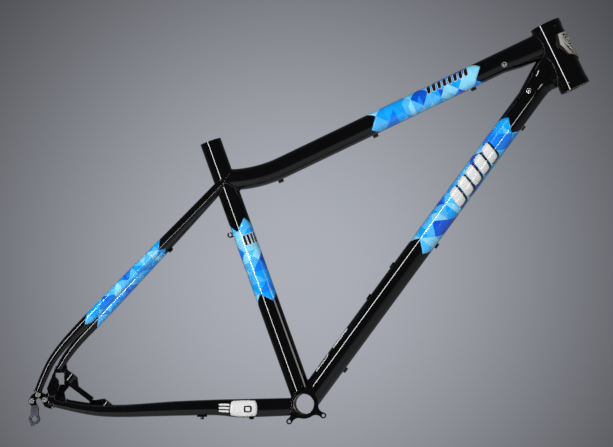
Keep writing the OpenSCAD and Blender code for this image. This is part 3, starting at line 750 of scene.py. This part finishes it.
def follow_tube(o, tube):
    """Gives a CAD tube the normals of its ideal surface, as a vector attribute for the paint."""
    group, start, end = geometry_group("follow_" + o.name)
    skin = group.nodes.new("GeometryNodeObjectInfo")
    skin.inputs["Object"].default_value = ideal_skin("ideal_" + o.name, tube)
    normal = group.nodes.new("GeometryNodeInputNamedAttribute")
    sample = group.nodes.new("GeometryNodeSampleNearestSurface")
    store = group.nodes.new("GeometryNodeStoreNamedAttribute")
    for node in (normal, sample, store):
        node.data_type = "FLOAT_VECTOR"
    normal.inputs["Name"].default_value = "ideal"
    store.domain = "POINT"
    store.inputs["Name"].default_value = "tube_normal"
    group.links.new(skin.outputs["Geometry"], sample.inputs["Mesh"])
    group.links.new(normal.outputs["Attribute"], sample.inputs["Value"])
    group.links.new(sample.outputs["Value"], store.inputs["Value"])
    group.links.new(start, store.inputs["Geometry"])
    group.links.new(store.outputs[0], end)
    o.modifiers.new("ideal", "NODES").node_group = group


# Parts with sharp edges, and the radius in millimetres that rounds them
SHARP_PARTS = {"chain_guide_plate": 0.35, "right_dropout": 0.4, "left_dropout": 0.5,
               "derailleur_hanger": 0.4, "hanger_bolts": 0.25, "upper_brake_post": 0.4,
               "brake_brace": 0.35, "bottle_bosses": 0.25, "bottom_bracket_shell": 0.35,
               "head_tube": 0.35, "seat_tube": 0.25, "head_badge": 0.15}
for name, o in NODES.items():
    material = LOOKS.get(name, PAINT)
    if not o.material_slots:
        o.data.materials.append(material)
    for s in o.material_slots:
        s.material = material
    refined(o, SHARP_PARTS.get(name, 0) * MM)
for tube in (TOP, DOWN, *STAYS.values()):
    follow_tube(NODES[tube.node], tube)


# ---------------------------------------------------------------- build: bands and marks

# Stations of each band's two ends; on the seat stays, the x of its ends
DOWN_BAND = (0.3095, 0.570)
TOP_BAND = (0.13838, 0.34138)
SEAT_BAND = (0.174, 0.318)
RIGHT_STAY_BAND = (-0.2135, -0.3465)
LEFT_STAY_BAND = (-0.2120, -0.3460)
NEAR_TIP = -34

colour_band("down_tube_band", DOWN, DOWN_BAND, rows=15, tip=NEAR_TIP, far_tip=25, seed=11)
colour_band("top_tube_band", TOP, TOP_BAND, rows=13, tip=NEAR_TIP, far_tip=28, seed=23)
colour_band("seat_tube_band", SEAT, SEAT_BAND, rows=8, tip=NEAR_TIP, far_tip=NEAR_TIP, seed=31)
for node, ends, tip, seed in (("right_seatstay", RIGHT_STAY_BAND, -66, 47),
                              ("left_seatstay", LEFT_STAY_BAND, -30, 59)):
    stations = [STAYS[node].station(x) for x in ends]
    colour_band(node + "_band", STAYS[node], stations, 11, tip, far_tip=None, seed=seed, columns=2)

TOP_BARS = bars(245.28, 321.28, count=8, low=0.2, high=0.87, slant=3, fill=0.62)
printed("top_tube_bars_edge", TOP, enlarged(TOP_BARS, length=1.6, span=5), WHITE)
printed("top_tube_bars", TOP, TOP_BARS, BLACK, SECOND_INK)
DOWN_BLOCKS = bars(407, 516, count=5, low=-0.82, high=0.72, slant=9, fill=0.80)
BLOCK_SHADOWS = enlarged(DOWN_BLOCKS, length=2.6, span=5, ahead=1.8, turn=-7)
printed("down_tube_blocks_shadow", DOWN, BLOCK_SHADOWS, BLACK)
printed("down_tube_blocks", DOWN, DOWN_BLOCKS, WHITE, SECOND_INK)
SEAT_BARS = [(282.5, angle, 17, 14, 0) for angle in (-62, -41, -20, 1)]
printed("seat_tube_bars_edge", SEAT, enlarged(SEAT_BARS, length=2, span=5), WHITE)
printed("seat_tube_bars", SEAT, SEAT_BARS, BLACK, SECOND_INK)
printed("down_tube_strip", DOWN, [(120, seen_at(0.88), 40, 16, 0)], WHITE)
printed("down_tube_crescent", DOWN, [(71, seen_at(0.9), 34, 24, 5)], WHITE)
printed("down_tube_crescent_core", DOWN, [(74, seen_at(0.93), 25, 19, 5)], BLACK, SECOND_INK)
LOW_STAY = STAYS["right_chainstay"]
printed("right_chainstay_block", LOW_STAY, [(71.92, 0, 43.47, 128, 0)], WHITE)
printed("right_chainstay_bars", LOW_STAY,
        [(103.28, angle, 17.21, 15, 0) for angle in (-24, 0, 24)], WHITE)
printed("right_chainstay_glyph", LOW_STAY, [(65.18, 4, 13, 44, 0)], BLACK, SECOND_INK)
printed("right_chainstay_glyph_core", LOW_STAY, [(65.18, 4, 7.5, 26, 0)], WHITE, THIRD_INK)

# ---------------------------------------------------------------- build: badge relief

# The badge as the CAD has it: its top end and height along the head tube, its half width, and
# its outline as shares of the height and of the half width
BADGE_TOP, BADGE_TALL, BADGE_HALF = 25 * MM, 49 * MM, 25.2 * MM
OUTLINE = ((0, 0.94), (0.35, 1), (0.75, 0.88), (1, 0))
# The rim's inner outline is the badge's, shrunk about this share of its height
BADGE_INSET, INSET_CENTRE = 0.95, 0.45
RELIEF_CELLS = 150
RELIEF_FOOT = 0.03 * MM
RELIEF_RISE = 0.75 * MM
RELIEF_SKIN = 0.25 * MM
# The headset bore stops a little short of the head tube's ends
BORE_SHORT = 0.7 * MM


def scrollwork(across, down):
    """Height from 0 to 1 at millimetres across and down: two spirals over ribs that fan out."""
    eye_across, eye_down, eye_edge, coil = 15, 14, 10, 4.6
    ribs, hub_down = 34, 70
    spiral = math.hypot(across - eye_across, down - eye_down)
    turn = math.atan2(down - eye_down, across - eye_across)
    scroll = math.cos(2 * math.pi * spiral / coil - turn)
    fan = (math.cos(ribs * math.atan2(across, hub_down - down))
           + 0.5 * math.cos(down * 1.1 + across * 0.35))
    blend = min(1.0, max(0.0, (spiral - eye_edge) / 3))
    return min(1.0, max(0.0, 0.5 + 0.9 * ((1 - blend) * scroll + blend * fan)))


def badge_relief():
    """Generic scrollwork inside the badge's rim."""
    middle = BADGE_TOP + INSET_CENTRE * BADGE_TALL
    head_top = head_mid + head_up * (head_len / 2 + BORE_SHORT)
    front = Vector((head_up.z, 0, -head_up.x))
    verts = []
    for i in range(RELIEF_CELLS + 1):
        # Rows stay just inside the top and bottom edges
        share = 0.004 + 0.99 * i / RELIEF_CELLS
        s = middle + BADGE_INSET * (BADGE_TOP + BADGE_TALL * share - middle)
        reach = BADGE_INSET * BADGE_HALF * float(np.interp(share, *zip(*OUTLINE)))
        for j in range(RELIEF_CELLS + 1):
            side = 2 * j / RELIEF_CELLS - 1
            y = reach * side
            across = math.asin(abs(y) / BADGE_FLOOR) * BADGE_FLOOR / MM
            edge = min(1.0, 9 * (1 - abs(side)), 18 * min(share, 1 - share))
            ridge = scrollwork(across, share * BADGE_TALL / MM) * edge
            r = BADGE_FLOOR + RELIEF_FOOT + RELIEF_RISE * ridge
            verts.append(head_top - head_up * s + Y * y + front * math.sqrt(r * r - y * y))
    faces = grid_faces(RELIEF_CELLS, RELIEF_CELLS)
    piece = new_piece("badge_relief", verts, faces, BADGE)
    if sum(f.normal.dot(front) for f in piece.data.polygons) < 0:
        piece.data.flip_normals()
    thicken(piece, RELIEF_SKIN)


badge_relief()

# ---------------------------------------------------------------- build: welds

head_tree = search_tree("head_tube")
seat_tree = search_tree("seat_tube")
shell_tree = search_tree("bottom_bracket_shell")
low_tree = search_tree("bottom_bracket_shell", "seat_tube")
# Each tube's end: the station and way along the tube of the rays that find the joint, what they
# meet, and the bead's radius in millimetres
BEADS = [("weld_top_tube_head", TOP, 0.425, 1, head_tree, 1.9),
         ("weld_down_tube_head", DOWN, 0.655, 1, head_tree, 2.0),
         ("weld_top_tube_seat", TOP, -0.082, -1, seat_tree, 1.8),
         ("weld_down_tube_shell", DOWN, 0.062, -1, low_tree, 1.8),
         ("weld_seat_tube_shell", SEAT, 0.036, -1, shell_tree, 1.8),
         ("weld_right_chainstay_shell", STAYS["right_chainstay"], 0.010, -1, shell_tree, 1.5),
         ("weld_left_chainstay_shell", STAYS["left_chainstay"], 0.010, -1, shell_tree, 1.5),
         ("weld_right_seatstay_seat", STAYS["right_seatstay"], 0.004, -1, seat_tree, 1.3),
         ("weld_left_seatstay_seat", STAYS["left_seatstay"], 0.004, -1, seat_tree, 1.3)]
SMALL_BEAD = 1.1 * MM
for i, (name, tube, station, towards, target, size) in enumerate(BEADS):
    weld_bead(name, cope_loop(tube, station, towards, target), size * MM, 100 + i)


def end_ring(tube):
    """Outline of a tube's rear end, just where its mesh stops."""
    before, last = Vector(tube.rows[-2][:3]), Vector(tube.rows[-1][:3])
    heading = (last - before).normalized()
    rel = arrays(tube.node)[0] - np.array(last)
    ahead = rel @ np.array(heading)
    off = np.linalg.norm(rel - np.outer(ahead, np.array(heading)), axis=1)
    reach = float(ahead[off < 1.3 * max(tube.rows[-1][9:11])].max())
    station = float(tube.stations[-1])
    return [tube.point(station, a) + heading * reach for a in ROUND]


for i, (node, tube) in enumerate(STAYS.items()):
    weld_bead("weld_" + node + "_dropout", end_ring(tube), SMALL_BEAD, 200 + i)


def bridge_welds(node, stays, seed):
    """Beads where a straight bridge along Y meets the stays at both of its ends."""
    lo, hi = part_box(node)
    mid, r = (lo + hi) / 2, (hi.x - lo.x) / 2
    for side, stay in zip((-1, 1), stays):
        tree = search_tree(stay)
        loop = []
        for a in full_turn(48):
            start = Vector((mid.x + r * math.cos(a), 0, mid.z + r * math.sin(a)))
            hit = tree.ray_cast(start, Y * side, RAY_REACH)[0]
            if hit is not None:
                loop.append(hit)
        weld_bead("weld_" + node + ("_right" if side < 0 else "_left"), loop, SMALL_BEAD, seed + side)


bridge_welds("chainstay_bridge", ("right_chainstay", "left_chainstay"), 301)
bridge_welds("seatstay_bridge", ("right_seatstay", "left_seatstay"), 311)


THREAD_PITCH = 1.058 * MM
THREAD_LENGTH = 24 * MM
THREAD_START = 0.6 * MM
THREAD_STEPS = 96
# The ridge's section: millimetres along the shell and outwards; its middle is the crest
THREAD_SECTION = ((-0.44, 0.12), (0.0, -0.55), (0.44, 0.12))


def thread_ridge(name, y_out, y_in, bore):
    """A helical thread inside the bottom bracket shell, from its face inwards."""
    sign = 1 if y_in > y_out else -1
    steps = int(THREAD_STEPS * (abs(y_in - y_out) / THREAD_PITCH - 1))
    fade_steps = THREAD_STEPS / 4
    verts, faces = [], []
    for i in range(steps + 1):
        a = 2 * math.pi * i / THREAD_STEPS
        fade = min(1.0, i / fade_steps, (steps - i) / fade_steps)
        for along, rise in THREAD_SECTION:
            r = bore + (rise if rise > 0 else rise * fade) * MM
            y = y_out + sign * (THREAD_PITCH * (i / THREAD_STEPS + 0.5) + along * MM)
            verts.append((r * math.cos(a), y, r * math.sin(a)))
        if i:
            k = 3 * i
            faces += [(k + m - 3, k + n - 3, k + n, k + m) for m, n in ((0, 1), (1, 2), (2, 0))]
    faces += [(0, 2, 1), (3 * steps, 3 * steps + 1, 3 * steps + 2)]
    piece = new_piece(name, verts, faces, SHELL_METAL, smooth=False)
    bm = bmesh.new()
    bm.from_mesh(piece.data)
    bmesh.ops.recalc_face_normals(bm, faces=bm.faces)
    bm.to_mesh(piece.data)
    bm.free()


shell_bore = MOUNTS["bottom_bracket"]["dims"]["r_mm"] * MM
thread_ridge("right_shell_thread", shell_low.y + THREAD_START, shell_low.y + THREAD_LENGTH, shell_bore)
thread_ridge("left_shell_thread", shell_high.y - THREAD_START, shell_high.y - THREAD_LENGTH, shell_bore)

# ---------------------------------------------------------------- studio

lo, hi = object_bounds()
centre = (lo + hi) / 2


def studio_world():
    """Grey studio: a soft glow behind the object for the camera, dim light for everything else."""
    # The glow's middle in the picture, and how fast it falls off across and up it
    glow_at, glow_fall = (0.481, 0.396, 0), (1.927, 1.405, 0)
    world = bpy.data.worlds.new("studio")
    bpy.context.scene.world = world
    t = Tree(world, "ShaderNodeOutputWorld")
    away = t.vector("MULTIPLY", t.vector("SUBTRACT", t.coordinates["Window"], glow_at), glow_fall)
    square = t.vector("DOT_PRODUCT", away, away, "Value")
    glow = t.math("EXPONENT", t.math("MULTIPLY", square, -1.0))
    seen = t.add("ShaderNodeBackground", {0: (0.413, 0.429, 0.478, 1), 1: glow}).outputs[0]
    depth = t.add("ShaderNodeSeparateXYZ", {0: t.coordinates["Generated"]}).outputs[1]
    unseen = t.add("ShaderNodeBackground", {0: (0.62, 0.64, 0.68, 1),
                                            1: t.ramp(depth, 0.0, 1.0, 0.07, 0.16)}).outputs[0]
    direct = t.add("ShaderNodeLightPath").outputs["Is Camera Ray"]
    both = t.add("ShaderNodeMixShader", {0: direct, 1: unseen, 2: seen}).outputs[0]
    t.tree.links.new(both, t.out.inputs[0])


def strip_light(name, position, target, size, radiance):
    """An area light that faces a target, as bright per area as its radiance."""
    data = bpy.data.lights.new(name, "AREA")
    data.shape = "RECTANGLE"
    data.size, data.size_y = size
    data.energy = radiance * math.pi * size[0] * size[1]
    o = bpy.data.objects.new(name, data)
    bpy.context.scene.collection.objects.link(o)
    o.location = position
    aim = (Vector(position) - Vector(target)).normalized()
    right = Z.cross(aim).normalized()
    up = aim.cross(right)
    o.rotation_mode = "QUATERNION"
    o.rotation_quaternion = Matrix((right, up, aim)).transposed().to_quaternion()
    return o


# The floor is far enough below the object to keep the strip's reflection on the tubes whole
FLOOR_GAP = 0.75
FLOOR_HALF = 6.0
FLOOR_CELLS = 48
# Distances from the object between which the floor fades out
FADE_START, FADE_END = 1.3, 3.6


def floor():
    """Plain pale floor that fades out far from the object."""
    z = CAD_BOX[0][2] - FLOOR_GAP
    steps = [FLOOR_HALF * (2 * i / FLOOR_CELLS - 1) for i in range(FLOOR_CELLS + 1)]
    verts = [(centre.x + x, y, z) for x in steps for y in steps]
    mesh = bpy.data.meshes.new("floor")
    mesh.from_pydata(verts, [], grid_faces(FLOOR_CELLS, FLOOR_CELLS))
    o = bpy.data.objects.new("floor", mesh)
    bpy.context.scene.collection.objects.link(o)
    t = surface("pale_floor")
    grain = t.noise(220, 5, 0.6)
    colour = t.mix(t.ramp(grain, 0.3, 0.7), (0.50, 0.51, 0.53), (0.56, 0.57, 0.59))
    t.finish(Base_Color=colour, Roughness=t.ramp(grain, 0.2, 0.8, 0.6, 0.75),
             Normal=t.bump(grain, 0.1, 0.2 * MM))
    solid = t.out.inputs[0].links[0].from_socket
    fade = t.ramp(t.vector("DISTANCE", t.place, (centre.x, 0, z), "Value"), FADE_START, FADE_END)
    clear = t.add("ShaderNodeBsdfTransparent").outputs[0]
    both = t.add("ShaderNodeMixShader", {0: fade, 1: solid, 2: clear}).outputs[0]
    t.tree.links.new(both, t.out.inputs[0])
    mesh.materials.append(t.owner)
    o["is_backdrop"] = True


studio_world()
floor()
# Each light's place, what it faces, its width and height, and its radiance
strip_light("left_strip", (-1.18, -1.9, 0.62), (-0.05, 0, 0.35), (0.13, 2.1), 42)
strip_light("right_soft", (2.4, -0.75, 0.78), (0.1, 0, 0.2), (0.8, 0.55), 4.5)
strip_light("low_right_strip", (1.1, -1.9, -0.07), (0.4, 0, 0.45), (0.10, 0.35), 20)
# Wide fills that light the paint but don't show in it, with their power in watts
FILL_SIZE = (1.4, 1.4)
for name, spot, power in (("front_fill", (0.5, -4.2, 1.6), 108), ("back_fill", (-0.5, 4.2, 1.6), 90)):
    radiance = power / (math.pi * FILL_SIZE[0] * FILL_SIZE[1])
    fill = strip_light(name, spot, (centre.x, 0, centre.z), FILL_SIZE, radiance)
    fill.visible_glossy = False

# ---------------------------------------------------------------- camera

# Far off, a little ahead of the frame's middle and low, as in the photo, and rolled a little
EYE = Vector((0.3201, -5.2, 0.0544))
LOOK_AT = Vector((0.01712, 0, 0.29298))
ROLL = 0.04988
LENS = 187.97

cam = bpy.data.objects.new("camera", bpy.data.cameras.new("camera"))
bpy.context.scene.collection.objects.link(cam)
cam.data.lens = LENS
cam.data.sensor_width = 36
cam.data.clip_start = 0.05
cam.data.clip_end = 100
back = (EYE - LOOK_AT).normalized()
level = Z.cross(back).normalized()
rise = back.cross(level)
right = level * math.cos(ROLL) - rise * math.sin(ROLL)
up = level * math.sin(ROLL) + rise * math.cos(ROLL)
cam.rotation_mode = "QUATERNION"
cam.rotation_quaternion = Matrix((right, up, back)).transposed().to_quaternion()
cam.location = EYE
bpy.context.scene.camera = cam
bpy.context.scene.view_settings.view_transform = "Standard"
